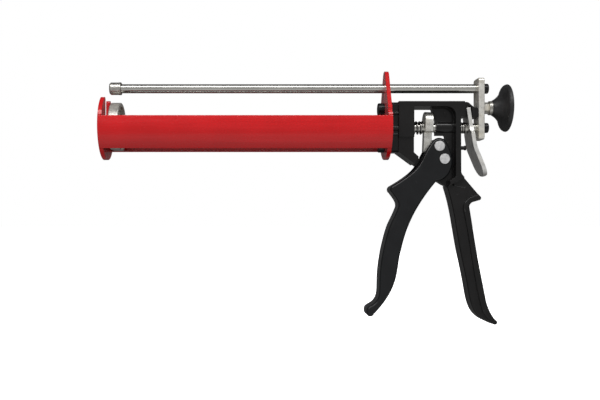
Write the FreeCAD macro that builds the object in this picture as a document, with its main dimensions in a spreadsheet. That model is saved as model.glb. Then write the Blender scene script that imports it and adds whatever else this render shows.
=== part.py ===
"""Twin-rod cartridge dispensing gun: a caulking gun for two-part (side-by-side or coaxial) cartridges.

Frame: +X towards the pull knob, +Z up, +Y to the gun's right when it points at -X. The origin is on
the drive rod's axis, at the front face of the cradle's rear plate, where the cartridge's rim rests.
Lengths are in millimetres, and every driving size is a cell of the spreadsheet.
"""

import FreeCAD, Part

import math
import os

import Sketcher
from FreeCAD import Placement, Rotation, Vector

SIZES = {
    # cradle
    "cradle_length": 276.2,       # between the two end plates
    "plate_thickness": 4.0,
    "disc_radius": 32.0,          # both end plates
    "rail_thickness": 2.0,
    "rail_top_angle": 16.5,       # degrees above the level, seen from the drive rod's axis
    "rail_bottom_angle": 44.5,    # degrees below the level
    "slot_half_width": 11.0,      # nozzle slot in the front plate
    "prong_tip_y": 15.2,
    "tongue_centre": 47.3,        # top of the rear plate
    "tongue_radius": 9.0,
    "notch_radius": 3.0,
    "notch_height": 15.0,
    "notch_side": 29.6,
    "plate_rod_clearance": 0.7,
    # rods and what they carry
    "rod_radius": 4.5,
    "push_height": 39.2,          # push rod's axis above the drive rod's
    "rod_rear": 92.0,
    "drive_rod_front": -268.0,
    "drive_spigot_radius": 3.0,
    "drive_spigot_length": 9.0,
    "push_rod_front": -266.0,
    "rod_thread_depth": 14.0,
    "piston_front": -272.0,
    "piston_length": 10.0,
    "piston_radius": 24.9,
    "piston_web": 4.0,
    "piston_skirt": 3.4,
    "piston_edge": 1.0,
    "piston_flat": 21.8,          # the disc's foot is cut off this far below the rod
    "nut_length": 4.6,
    "nut_corner_radius": 5.9,
    "cap_front": -274.0,
    "cap_length": 11.6,
    "cap_radius": 6.3,
    "cap_chamfer": 1.2,
    # yoke and knob
    "yoke_thickness": 6.0,
    "yoke_half_width": 10.0,
    "yoke_bottom": -12.3,
    "yoke_height": 61.2,
    "yoke_corner": 3.0,
    "knob_height": 19.8,
    "stud_radius": 3.0,
    "stud_length": 24.0,
    "knob_nut_length": 6.3,
    "ferrule_length": 3.4,
    "ferrule_radius": 7.0,
    "knob_start": 106.6,
    # socket screws
    "cradle_screw_spread": 18.3,
    "cradle_head_radius": 6.4,
    "cradle_head_length": 6.4,
    "cradle_shank_radius": 4.0,
    "cradle_shank_length": 22.0,
    "cradle_socket_radius": 3.4,
    "yoke_head_radius": 5.0,
    "yoke_head_length": 6.0,
    "yoke_shank_radius": 3.0,
    "yoke_shank_length": 17.0,
    "yoke_socket_radius": 2.9,
    "socket_depth": 3.4,
    # cast handle
    "frame_half_width": 14.0,
    "cheek_step": 2.0,            # how far the frame's lower front stands back
    "boss_half_width": 10.6,
    "web_half_width": 4.5,
    "grip_half_width": 10.8,
    "palm_half_width": 12.8,
    "tang_half_width": 10.3,
    "grip_rounding": 2.0,
    "palm_rounding": 1.5,
    "arm_half_width": 10.0,
    "ejector_radius": 2.3,
    "ejector_depth": 0.4,
    "rod_boss_radius": 7.0,
    "rod_running_gap": 0.06,
    "spring_bore_radius": 7.3,
    "spring_bore_start": 17.0,
    "brake_bore_radius": 6.2,
    "brake_bore_start": 68.4,
    # trigger and its pivot
    "pivot_x": 57.7,
    "pivot_z": -31.8,
    "pivot_radius": 4.0,
    "pivot_boss_radius": 7.4,
    "pivot_boss_half": 8.8,
    "pivot_gap": 0.05,
    "pin_x": 52.7,
    "pin_z": -19.1,
    "pin_radius": 3.5,
    "bush_radius": 5.6,
    "bush_half": 8.9,
    "rivet_head_radius": 5.0,
    "rivet_head_height": 1.1,
    "rivet_head_gap": 0.15,
    "trigger_half_width": 13.0,
    "channel_half_width": 9.2,
    "trigger_rounding": 3.0,
    # drive plate and release lever
    "drive_plate_x": 43.4,
    "drive_plate_thickness": 8.0,
    "drive_plate_lean": 2.2,      # degrees
    "drive_hole_radius": 4.85,
    "drive_head_radius": 10.0,
    "drive_head_centre": 5.75,
    "drive_tail_half": 4.0,
    "drive_tail_end": -25.0,
    "lever_thickness": 3.7,
    "lever_hole_radius": 5.3,
    "lever_top_half": 10.5,
    "lever_pad_half": 14.0,
    "stop_radius": 1.9,
    "stop_length": 10.8,
    "stop_head_radius": 2.4,
    # springs
    "main_wire_radius": 1.0,
    "main_coil_radius": 5.7,
    "main_pitch": 4.0,
    "main_spring_start": 18.1,
    "main_spring_length": 19.8,
    "brake_wire_radius": 0.5,
    "brake_coil_radius": 5.2,
    "brake_pitch": 2.32,
    "brake_spring_start": 69.0,
    "brake_spring_length": 11.6,
}

doc = FreeCAD.newDocument("dispensing_gun")
sheet = doc.addObject("Spreadsheet::Sheet", "Sizes")
for row, (alias, value) in enumerate(SIZES.items(), start=1):
    sheet.set(f"A{row}", alias)
    sheet.set(f"B{row}", str(value))
    sheet.setAlias(f"B{row}", alias)
doc.recompute()


def size(alias):
    """The value of one cell, for outlines that are worked out in this file."""
    return float(getattr(sheet, alias))


# ---------------------------------------------------------------- sketches and features

def origin_plane(body, role):
    return next(feature for feature in body.Origin.OriginFeatures if feature.Role == role)


def new_sketch(body, name, role, offset=None):
    """A sketch on one of the body's own origin planes, moved along the plane's normal by an expression."""
    sketch = body.newObject("Sketcher::SketchObject", name)
    sketch.AttachmentSupport = [(origin_plane(body, role), "")]
    sketch.MapMode = "FlatFace"
    if offset:
        sketch.setExpression("AttachmentOffset.Base.z", offset)
    return sketch


def flat(point):
    return Vector(point[0], point[1], 0)


def trace(sketch, start, *steps):
    """Draw a closed outline. A step is ("line", end), ("arc", middle, end) or ("curve", through, ..., end)."""
    here = flat(start)
    for kind, *points in steps:
        points = [flat(point) for point in points]
        if kind == "line":
            sketch.addGeometry(Part.LineSegment(here, points[0]), False)
        elif kind == "arc":
            sketch.addGeometry(Part.Arc(here, points[0], points[1]), False)
        else:
            curve = Part.BSplineCurve()
            curve.interpolate([here, *points])
            sketch.addGeometry(curve, False)
        here = points[-1]


def polygon(sketch, points):
    trace(sketch, points[0], *[("line", point) for point in [*points[1:], points[0]]])


def circle(sketch, centre, radius_expression):
    """A circle whose radius and centre follow the sheet."""
    index = sketch.addGeometry(Part.Circle(flat((centre[0], centre[1])), Vector(0, 0, 1), 1.0), False)
    number = sketch.addConstraint(Sketcher.Constraint("Radius", index, 1.0))
    sketch.setExpression(f"Constraints[{number}]", radius_expression)
    across = sketch.addConstraint(Sketcher.Constraint("DistanceX", -1, 1, index, 3, centre[0]))
    up = sketch.addConstraint(Sketcher.Constraint("DistanceY", -1, 1, index, 3, centre[1]))
    return across, up


def pad(body, sketch, length, symmetric=True, reverse=False):
    feature = body.newObject("PartDesign::Pad", f"{sketch.Name}_pad")
    feature.Profile = sketch
    feature.SideType = "Symmetric" if symmetric else "One side"
    feature.Reversed = reverse
    feature.setExpression("Length", length)
    doc.recompute()
    return feature


def pocket(body, sketch, length=None, reverse=False):
    """Cut through both ways, or to a depth on one side. It has to take something away."""
    before = body.Shape.Volume
    feature = body.newObject("PartDesign::Pocket", f"{sketch.Name}_cut")
    feature.Profile = sketch
    if length:
        feature.Type = "Length"
        feature.SideType = "One side"
        feature.setExpression("Length", length)
    else:
        feature.Type = "ThroughAll"
        feature.SideType = "Symmetric"
    feature.Reversed = reverse
    doc.recompute()
    if body.Shape.Volume > before - 0.5:
        raise RuntimeError(f"{feature.Name} cuts nothing")
    return feature


def revolve(body, sketch, groove=False):
    """Turn an XZ profile about the X axis."""
    kind = "PartDesign::Groove" if groove else "PartDesign::Revolution"
    feature = body.newObject(kind, f"{sketch.Name}_turned")
    feature.Profile = sketch
    feature.ReferenceAxis = (sketch, ["H_Axis"])
    feature.Angle = 360
    doc.recompute()
    return feature


def round_edges(body, radius, chosen, kind="PartDesign::Fillet"):
    """Round the edges of the body's tip that the test picks."""
    tip = body.Tip
    names = [f"Edge{n}" for n, edge in enumerate(tip.Shape.Edges, start=1) if chosen(edge)]
    if not names:
        raise RuntimeError(f"no edge to round on {body.Label}")
    feature = body.newObject(kind, f"{tip.Name}_edges")
    feature.Base = (tip, names)
    feature.setExpression("Size" if kind.endswith("Chamfer") else "Radius", radius)
    doc.recompute()
    if "Invalid" in feature.State or not feature.Shape.isValid():
        raise RuntimeError(f"{feature.Name} failed")
    return feature


def new_body(name):
    body = doc.addObject("PartDesign::Body", name)
    body.Label = name
    return body


def lies_flat(edge, axis, value, tolerance=0.02):
    """True where both ends and the middle of an edge have the given coordinate, on either side of zero."""
    low = getattr(edge.BoundBox, f"{axis}Min")
    high = getattr(edge.BoundBox, f"{axis}Max")
    return high - low < tolerance and abs(abs(low) - value) < tolerance


# ---------------------------------------------------------------- primitives

def cylinder_along_x(name, start, length, radius, height="0"):
    rod = doc.addObject("Part::Cylinder", name)
    rod.Placement = Placement(Vector(), Rotation(Vector(0, 1, 0), 90))
    rod.setExpression("Radius", radius)
    rod.setExpression("Height", length)
    rod.setExpression("Placement.Base.x", start)
    rod.setExpression("Placement.Base.z", height)
    return rod


def cylinder_along_y(name, half_length, radius, across, height, start=None, length=None):
    rod = doc.addObject("Part::Cylinder", name)
    rod.Placement = Placement(Vector(), Rotation(Vector(1, 0, 0), -90))
    rod.setExpression("Radius", radius)
    rod.setExpression("Height", length or f"2 * {half_length}")
    rod.setExpression("Placement.Base.x", across)
    rod.setExpression("Placement.Base.y", start or f"-{half_length}")
    rod.setExpression("Placement.Base.z", height)
    return rod


def hexagon_along_x(name, start, length, corner_radius, height="0"):
    prism = doc.addObject("Part::Prism", name)
    prism.Polygon = 6
    prism.Placement = Placement(Vector(), Rotation(Vector(0, 1, 0), 90))
    prism.setExpression("Circumradius", corner_radius)
    prism.setExpression("Height", length)
    prism.setExpression("Placement.Base.x", start)
    prism.setExpression("Placement.Base.z", height)
    return prism


def cut(name, base, tool):
    result = doc.addObject("Part::Cut", name)
    result.Base = base
    result.Tool = tool
    return result


def fuse(name, *shapes):
    result = doc.addObject("Part::MultiFuse", name)
    result.Shapes = list(shapes)
    return result


def soften(name, base, radius, chosen, kind="Part::Fillet"):
    """Round or chamfer the edges of a Part object that the test picks."""
    doc.recompute()
    result = doc.addObject(kind, name)
    result.Base = base
    result.Edges = [(n, radius, radius) for n, edge in enumerate(base.Shape.Edges, start=1) if chosen(edge)]
    doc.recompute()
    return result


def name_node(feature, label):
    feature.Label = label
    NODES.append(feature)
    return feature


NODES = []


# ---------------------------------------------------------------- cradle

def front_plate():
    """Disc with a nozzle slot that is open at the top and leaves two rounded prongs."""
    body = new_body("front_plate")
    sketch = new_sketch(body, "front_plate_outline", "YZ_Plane", "-Sizes.cradle_length - Sizes.plate_thickness")
    radius, half, tip = size("disc_radius"), size("slot_half_width"), size("prong_tip_y")
    tip_height = math.sqrt(radius ** 2 - tip ** 2)
    wall_top = tip_height - 2.0
    crown = (half + 1.25, tip_height + 0.35)
    trace(
        sketch, (half, 0),
        ("line", (half, wall_top)),
        ("arc", crown, (tip, tip_height)),
        ("arc", (0, -radius), (-tip, tip_height)),
        ("arc", (-crown[0], crown[1]), (-half, wall_top)),
        ("line", (-half, 0)),
        ("arc", (0, -half), (half, 0)),
    )
    pad(body, sketch, "Sizes.plate_thickness", symmetric=False)
    cut_rail_seats(body)
    return name_node(body, "front_plate")


def rail_section(sketch, side):
    """Cross-section of one rail: a thin arc about the drive rod's axis."""
    top = math.radians(size("rail_top_angle"))
    bottom = -math.radians(size("rail_bottom_angle"))

    def on_arc(radius, angle):
        return side * radius * math.cos(angle), radius * math.sin(angle)

    outer = size("disc_radius")
    inner = outer - size("rail_thickness")
    middle = (top + bottom) / 2
    trace(
        sketch, on_arc(outer, top),
        ("arc", on_arc(outer, middle), on_arc(outer, bottom)),
        ("line", on_arc(inner, bottom)),
        ("arc", on_arc(inner, middle), on_arc(inner, top)),
        ("line", on_arc(outer, top)),
    )


def cut_rail_seats(body):
    """Both end plates are cut back where the rails lap over their rims."""
    for name, side in (("near", -1), ("far", 1)):
        seat = new_sketch(body, f"{body.Label}_{name}_seat", "YZ_Plane")
        rail_section(seat, side)
        pocket(body, seat)


def rail(label, side):
    """Rolled strip that laps over both end plates' rims and is welded to them."""
    body = new_body(label)
    sketch = new_sketch(body, f"{label}_section", "YZ_Plane", "-Sizes.cradle_length - Sizes.plate_thickness")
    rail_section(sketch, side)
    pad(body, sketch, "Sizes.cradle_length + 2 * Sizes.plate_thickness", symmetric=False)
    long_edges = size("cradle_length") - 1
    round_edges(body, "0.6", lambda edge: edge.BoundBox.XLength > long_edges)
    return name_node(body, label)


def rear_plate():
    """Disc that tapers up to a round tongue, which guides the push rod."""
    body = new_body("rear_plate")
    sketch = new_sketch(body, "rear_plate_outline", "YZ_Plane")
    disc, tip, centre = size("disc_radius"), size("tongue_radius"), size("tongue_centre")
    rise = math.asin((disc - tip) / centre)
    on_disc = (disc * math.cos(rise), disc * math.sin(rise))
    on_tip = (tip * math.cos(rise), centre + tip * math.sin(rise))
    trace(
        sketch, on_disc,
        ("line", on_tip),
        ("arc", (0, centre + tip), (-on_tip[0], on_tip[1])),
        ("line", (-on_disc[0], on_disc[1])),
        ("arc", (0, -disc), on_disc),
    )
    circle(sketch, (0, 0), "Sizes.rod_radius + Sizes.plate_rod_clearance")
    circle(sketch, (0, size("push_height")), "Sizes.rod_radius + Sizes.rod_running_gap")
    for side in (1, -1):
        circle(sketch, (0, side * size("cradle_screw_spread")), "Sizes.cradle_shank_radius")
    pad(body, sketch, "Sizes.plate_thickness", symmetric=False)
    cut_rail_seats(body)
    notches = new_sketch(body, "rail_notches", "YZ_Plane")
    for side in (1, -1):
        circle(notches, (side * size("notch_side"), size("notch_height")), "Sizes.notch_radius")
    pocket(body, notches)
    straight_up = size("tongue_centre")
    round_edges(
        body, "0.5",
        lambda edge: edge.BoundBox.XLength < 0.01 and edge.BoundBox.ZMax > straight_up and edge.BoundBox.ZMin > 14,
    )
    return name_node(body, "rear_plate")


def socket_screw(name, seat, direction, height, head_radius, head_length, shank_radius, shank_length, socket_radius):
    """Socket-head screw along X. Its head stands off the seat in the given direction."""
    head_start = seat if direction > 0 else f"{seat} - {head_length}"
    shank_start = f"{seat} - {shank_length}" if direction > 0 else seat
    head = cylinder_along_x(f"{name}_head", head_start, head_length, head_radius, height)
    doc.recompute()
    outer_x = head.Shape.BoundBox.XMax if direction > 0 else head.Shape.BoundBox.XMin
    round_head = soften(
        f"{name}_round_head", head, 1.3,
        lambda edge: abs(edge.BoundBox.XMin - outer_x) < 0.01 and edge.BoundBox.XLength < 0.01,
    )
    shank = cylinder_along_x(f"{name}_shank", shank_start, shank_length, shank_radius, height)
    blank = fuse(f"{name}_blank", round_head, shank)
    socket_start = f"{seat} + {head_length} - Sizes.socket_depth" if direction > 0 else head_start
    socket = hexagon_along_x(f"{name}_socket", socket_start, "Sizes.socket_depth", socket_radius, height)
    return cut(name, blank, socket)


def compound(label, parts):
    group = doc.addObject("Part::Compound", label)
    group.Links = parts
    return name_node(group, label)


def cradle_screws():
    screws = [
        socket_screw(
            f"cradle_screw_{place}", "0", -1, f"{sign}Sizes.cradle_screw_spread",
            "Sizes.cradle_head_radius", "Sizes.cradle_head_length",
            "Sizes.cradle_shank_radius", "Sizes.cradle_shank_length", "Sizes.cradle_socket_radius",
        )
        for place, sign in (("upper", ""), ("lower", "-"))
    ]
    return compound("cradle_screws", screws)


# ---------------------------------------------------------------- rods, piston and yoke

def drive_rod():
    shaft = cylinder_along_x(
        "drive_shaft", "Sizes.drive_rod_front", "Sizes.rod_rear - Sizes.drive_rod_front", "Sizes.rod_radius",
    )
    spigot = cylinder_along_x(
        "drive_spigot", "Sizes.drive_rod_front - Sizes.drive_spigot_length",
        "Sizes.drive_spigot_length + 1", "Sizes.drive_spigot_radius",
    )
    tapped = cylinder_along_x(
        "drive_tapping", "Sizes.rod_rear - Sizes.rod_thread_depth", "Sizes.rod_thread_depth + 1",
        "Sizes.yoke_shank_radius",
    )
    return name_node(cut("drive_rod", fuse("drive_rod_blank", shaft, spigot), tapped), "drive_rod")


def push_rod():
    shaft = cylinder_along_x(
        "push_shaft", "Sizes.push_rod_front", "Sizes.rod_rear - Sizes.push_rod_front",
        "Sizes.rod_radius", "Sizes.push_height",
    )
    tapped = cylinder_along_x(
        "push_tapping", "Sizes.rod_rear - Sizes.rod_thread_depth", "Sizes.rod_thread_depth + 1",
        "Sizes.yoke_shank_radius", "Sizes.push_height",
    )
    return name_node(cut("push_rod", shaft, tapped), "push_rod")


def push_rod_cap():
    """Turned tip that pushes the small cartridge's piston, with a lip at its open end."""
    front, length, radius = size("cap_front"), size("cap_length"), size("cap_radius")
    chamfer, bore, lip = size("cap_chamfer"), size("rod_radius"), 0.35
    rear = front + length
    body = new_body("push_rod_cap")
    body.setExpression("Placement.Base.z", "Sizes.push_height")
    sketch = new_sketch(body, "cap_profile", "XZ_Plane")
    polygon(sketch, [
        (front, 0), (front, radius - chamfer), (front + chamfer, radius - 0.1),
        (rear - 2.2, radius - 0.1), (rear - 1.7, radius + lip - 0.3), (rear - 0.5, radius + lip - 0.3),
        (rear, radius - 0.5), (rear, bore), (size("push_rod_front"), bore), (size("push_rod_front"), 0),
    ])
    revolve(body, sketch)
    return name_node(body, "push_rod_cap")


def main_piston():
    """Turned disc that pushes the large cartridge's piston, hollow behind its web."""
    front, radius, edge = size("piston_front"), size("piston_radius"), size("piston_edge")
    rear, web = front + size("piston_length"), front + size("piston_web")
    skirt = radius - size("piston_skirt")
    hub = size("rod_radius") + 4.0
    body = new_body("main_piston")
    sketch = new_sketch(body, "piston_profile", "XZ_Plane")
    polygon(sketch, [
        (front, size("drive_spigot_radius")), (front, radius - edge), (front + edge, radius),
        (rear - edge / 2, radius), (rear, radius - edge / 2), (rear, skirt), (web, skirt - 0.6),
        (web, hub), (web + 2.5, hub - 1.0), (web + 2.5, size("rod_radius")), (web, size("rod_radius")),
        (web, size("drive_spigot_radius")),
    ])
    revolve(body, sketch)
    flat_edge = -size("piston_flat")
    foot = new_sketch(body, "piston_foot", "YZ_Plane")
    polygon(foot, [(-radius, flat_edge), (radius, flat_edge), (radius, -radius - 2), (-radius, -radius - 2)])
    pocket(body, foot)
    return name_node(body, "main_piston")


def piston_nut():
    prism = hexagon_along_x(
        "piston_nut_blank", "Sizes.piston_front - Sizes.nut_length", "Sizes.nut_length", "Sizes.nut_corner_radius",
    )
    bore = cylinder_along_x(
        "piston_nut_bore", "Sizes.piston_front - Sizes.nut_length - 1", "Sizes.nut_length + 2",
        "Sizes.drive_spigot_radius",
    )
    return name_node(cut("piston_nut", prism, bore), "piston_nut")


def yoke_plate():
    """Flat bar that ties the two rods and the knob together."""
    body = new_body("yoke_plate")
    sketch = new_sketch(body, "yoke_outline", "YZ_Plane", "Sizes.rod_rear")
    half, low, corner = size("yoke_half_width"), size("yoke_bottom"), size("yoke_corner")
    high = low + size("yoke_height")
    bulge = corner * (1 - math.sqrt(0.5))
    trace(
        sketch, (half, low + corner),
        ("line", (half, high - corner)),
        ("arc", (half - bulge, high - bulge), (half - corner, high)),
        ("line", (corner - half, high)),
        ("arc", (bulge - half, high - bulge), (-half, high - corner)),
        ("line", (-half, low + corner)),
        ("arc", (bulge - half, low + bulge), (corner - half, low)),
        ("line", (half - corner, low)),
        ("arc", (half - bulge, low + bulge), (half, low + corner)),
    )
    for height in (0.0, size("push_height")):
        circle(sketch, (0, height), "Sizes.yoke_shank_radius")
    circle(sketch, (0, size("knob_height")), "Sizes.stud_radius")
    pad(body, sketch, "Sizes.yoke_thickness", symmetric=False)
    small = size("yoke_half_width")
    round_edges(
        body, "0.7",
        lambda edge: edge.BoundBox.XLength < 0.01
        and not (edge.BoundBox.YMax < small / 2 and edge.BoundBox.YMin > -small / 2),
    )
    return name_node(body, "yoke_plate")


def yoke_screws():
    screws = [
        socket_screw(
            f"yoke_screw_{place}", "Sizes.rod_rear + Sizes.yoke_thickness", 1, height,
            "Sizes.yoke_head_radius", "Sizes.yoke_head_length",
            "Sizes.yoke_shank_radius", "Sizes.yoke_shank_length", "Sizes.yoke_socket_radius",
        )
        for place, height in (("lower", "0"), ("upper", "Sizes.push_height"))
    ]
    return compound("yoke_screws", screws)


def knob_stud():
    stud = cylinder_along_x("knob_stud", "Sizes.rod_rear", "Sizes.stud_length", "Sizes.stud_radius", "Sizes.knob_height")
    return name_node(stud, "knob_stud")


def knob_nut():
    start = "Sizes.rod_rear + Sizes.yoke_thickness"
    prism = hexagon_along_x("knob_nut_blank", start, "Sizes.knob_nut_length", "Sizes.nut_corner_radius", "Sizes.knob_height")
    bore = cylinder_along_x("knob_nut_bore", start, "Sizes.knob_nut_length", "Sizes.stud_radius", "Sizes.knob_height")
    return name_node(cut("knob_nut", prism, bore), "knob_nut")


def knob_ferrule():
    start = "Sizes.rod_rear + Sizes.yoke_thickness + Sizes.knob_nut_length"
    ring = cylinder_along_x("ferrule_ring", start, "Sizes.ferrule_length", "Sizes.ferrule_radius", "Sizes.knob_height")
    bore = cylinder_along_x("ferrule_bore", start, "Sizes.ferrule_length", "Sizes.stud_radius", "Sizes.knob_height")
    plain = cut("ferrule_blank", ring, bore)
    rim = size("ferrule_radius")
    soft = soften("ferrule_soft", plain, 0.5, lambda edge: edge.BoundBox.XLength < 0.01 and edge.BoundBox.YMax > rim - 0.1)
    return name_node(soft, "knob_ferrule")


def knob():
    """Mushroom pull knob, moulded round the end of the stud."""
    body = new_body("knob")
    body.setExpression("Placement.Base.z", "Sizes.knob_height")
    sketch = new_sketch(body, "knob_profile", "XZ_Plane")
    start, stud_end, stud = size("knob_start") + 1.1, size("rod_rear") + size("stud_length"), size("stud_radius")
    apex, sag, rim = 125.2, 2.0, 22.4
    dome = (sag ** 2 + rim ** 2) / (2 * sag)
    half_way = apex - dome + math.sqrt(dome ** 2 - (rim / 2) ** 2)
    trace(
        sketch, (start, stud),
        ("line", (start, 7.2)),
        ("arc", (start + 0.25, 7.65), (start + 0.8, 7.9)),
        ("arc", (112.4, 10.9), (115.6, 14.7)),
        ("arc", (117.1, 17.7), (118.4, 20.9)),
        ("arc", (119.6, 22.6), (121.4, 23.5)),
        ("arc", (122.6, 23.4), (apex - sag, rim)),
        ("arc", (half_way, rim / 2), (apex, 0)),
        ("line", (stud_end, 0)),
        ("line", (stud_end, stud)),
        ("line", (start, stud)),
    )
    revolve(body, sketch)
    return name_node(body, "knob")


# ---------------------------------------------------------------- cast handle

def frame_outline(sketch):
    """Side view of the cast frame: top rail, rear wall and the web over the trigger."""
    trace(
        sketch, (12.6, 24.9),
        ("line", (77.4, 24.9)),
        ("line", (77.4, 10.0)),
        ("line", (73.6, 10.0)),
        ("line", (73.8, -44.0)),
        ("arc", (74.3, -46.2), (75.4, -47.8)),
        ("line", (77.2, -49.9)),
        ("arc", (71.6, -53.6), (64.6, -57.0)),
        ("line", (61.8, -58.9)),
        ("line", (57.2, -56.6)),
        ("line", (52.3, -53.6)),
        ("line", (31.6, -38.9)),
        ("line", (14.0, -26.0)),
        ("arc", (13.4, -25.6), (12.6, -25.4)),
        ("line", (12.6, 24.9)),
    )


def tang_outline(sketch):
    """Side view of the spur over the hand, which carries the frame down into the grip."""
    trace(
        sketch, (67.5, -52.0),
        ("line", (74.0, -46.4)),
        ("line", (75.4, -47.8)),
        ("line", (92.8, -68.3)),
        ("arc", (93.9, -70.8), (91.6, -72.6)),
        ("line", (86.6, -74.1)),
        ("arc", (82.9, -76.0), (80.5, -80.5)),
        ("line", (72.0, -84.0)),
        ("line", (68.5, -72.0)),
        ("line", (67.5, -52.0)),
    )


def grip_outline(sketch):
    """Side view of the fixed grip, from under the frame down to its curled foot."""
    trace(
        sketch, (60.0, -57.0),
        ("curve", (65.5, -76.5), (72.7, -116.9), (81.1, -158.5), (84.0, -173.1), (90.1, -185.6), (98.5, -191.9),
         (106.6, -194.9)),
        ("arc", (109.7, -194.9), (110.2, -192.0)),
        ("curve", (103.0, -183.1), (98.0, -167.6), (94.1, -147.7), (89.1, -121.0), (84.8, -94.4), (80.0, -60.0)),
        ("line", (60.0, -57.0)),
    )


def palm_outline(sketch):
    """The wider strip along the spur's edge and the back of the grip."""
    trace(
        sketch, (76.0, -81.0),
        ("curve", (80.1, -101.5), (84.9, -131.7), (90.2, -162.5), (94.6, -181.0)),
        ("curve", (96.4, -184.4), (99.6, -188.4), (104.0, -191.4)),
        ("line", (106.6, -188.9)),
        ("curve", (103.0, -183.1), (100.2, -176.5), (98.0, -167.6)),
        ("curve", (94.1, -147.7), (89.1, -121.0), (84.8, -94.4), (82.3, -79.0)),
        ("arc", (83.6, -75.8), (86.6, -74.1)),
        ("line", (91.6, -72.6)),
        ("arc", (93.9, -70.8), (92.8, -68.3)),
        ("line", (91.2, -66.4)),
        ("curve", (86.1, -67.9), (79.0, -72.6), (76.0, -81.0)),
    )


def trigger_pocket_outline(sketch):
    """The recess on each side where the trigger's cheeks swing."""
    trace(
        sketch, (27.7, 19.9),
        ("line", (59.6, 19.9)),
        ("arc", (65.97, 17.27), (68.6, 10.9)),
        ("line", (68.6, -49.3)),
        ("arc", (65.4, -51.7), (62.6, -53.2)),
        ("line", (63.4, -55.6)),
        ("line", (61.2, -59.4)),
        ("line", (60.9, -60.2)),
        ("line", (20.0, -60.2)),
        ("line", (20.0, -46.0)),
        ("line", (28.0, -37.6)),
        ("line", (32.6, -29.6)),
        ("line", (27.7, -25.2)),
        ("line", (27.7, 19.9)),
    )


def window_outline(sketch):
    """The opening through the web for the drive plate, its spring and the trigger's bush."""
    trace(
        sketch, (27.7, 19.9),
        ("line", (46.6, 19.9)),
        ("line", (50.9, 7.2)),
        ("line", (50.9, -7.6)),
        ("line", (59.3, -7.6)),
        ("arc", (60.2, -8.0), (60.6, -9.0)),
        ("line", (60.6, -18.6)),
        ("arc", (60.4, -21.5), (59.7, -24.6)),
        ("line", (51.0, -28.6)),
        ("line", (46.5, -31.0)),
        ("line", (34.0, -31.0)),
        ("line", (27.7, -25.2)),
        ("line", (27.7, 19.9)),
    )


def hook_outline(sketch):
    """Arm that runs back from the frame, holds the release lever's top and stops the yoke."""
    trace(
        sketch, (75.0, 10.0),
        ("line", (75.0, 24.6)),
        ("line", (79.6, 24.6)),
        ("arc", (81.2, 24.4), (82.6, 23.6)),
        ("line", (88.0, 19.0)),
        ("line", (90.0, 19.5)),
        ("line", (91.7, 17.6)),
        ("line", (91.7, 9.9)),
        ("line", (86.6, 9.9)),
        ("line", (85.0, 18.8)),
        ("arc", (82.4, 21.3), (79.6, 19.2)),
        ("line", (79.3, 10.0)),
        ("line", (75.0, 10.0)),
    )


def boss_outline(sketch):
    """Section of the block behind the rear plate, with half-round ribs down each side."""
    wide, rise, drop, corner = size("boss_half_width"), 24.4, -24.9, 2.0
    ribs = ((13.5, 1.8), (-1.3, 2.5), (-7.5, 1.3))
    right = []
    for height, radius in ribs:
        right.append(("line", (wide, height + radius)))
        right.append(("arc", (wide + radius, height), (wide, height - radius)))
    left = []
    for height, radius in reversed(ribs):
        left.append(("line", (-wide, height - radius)))
        left.append(("arc", (-wide - radius, height), (-wide, height + radius)))
    trace(
        sketch, (corner - wide, rise),
        ("line", (wide - corner, rise)),
        ("line", (wide, rise - corner)),
        *right,
        ("line", (wide, drop + corner)),
        ("line", (wide - corner, drop)),
        ("line", (corner - wide, drop)),
        ("line", (-wide, drop + corner)),
        *left,
        ("line", (-wide, rise - corner)),
        ("line", (corner - wide, rise)),
    )


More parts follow.
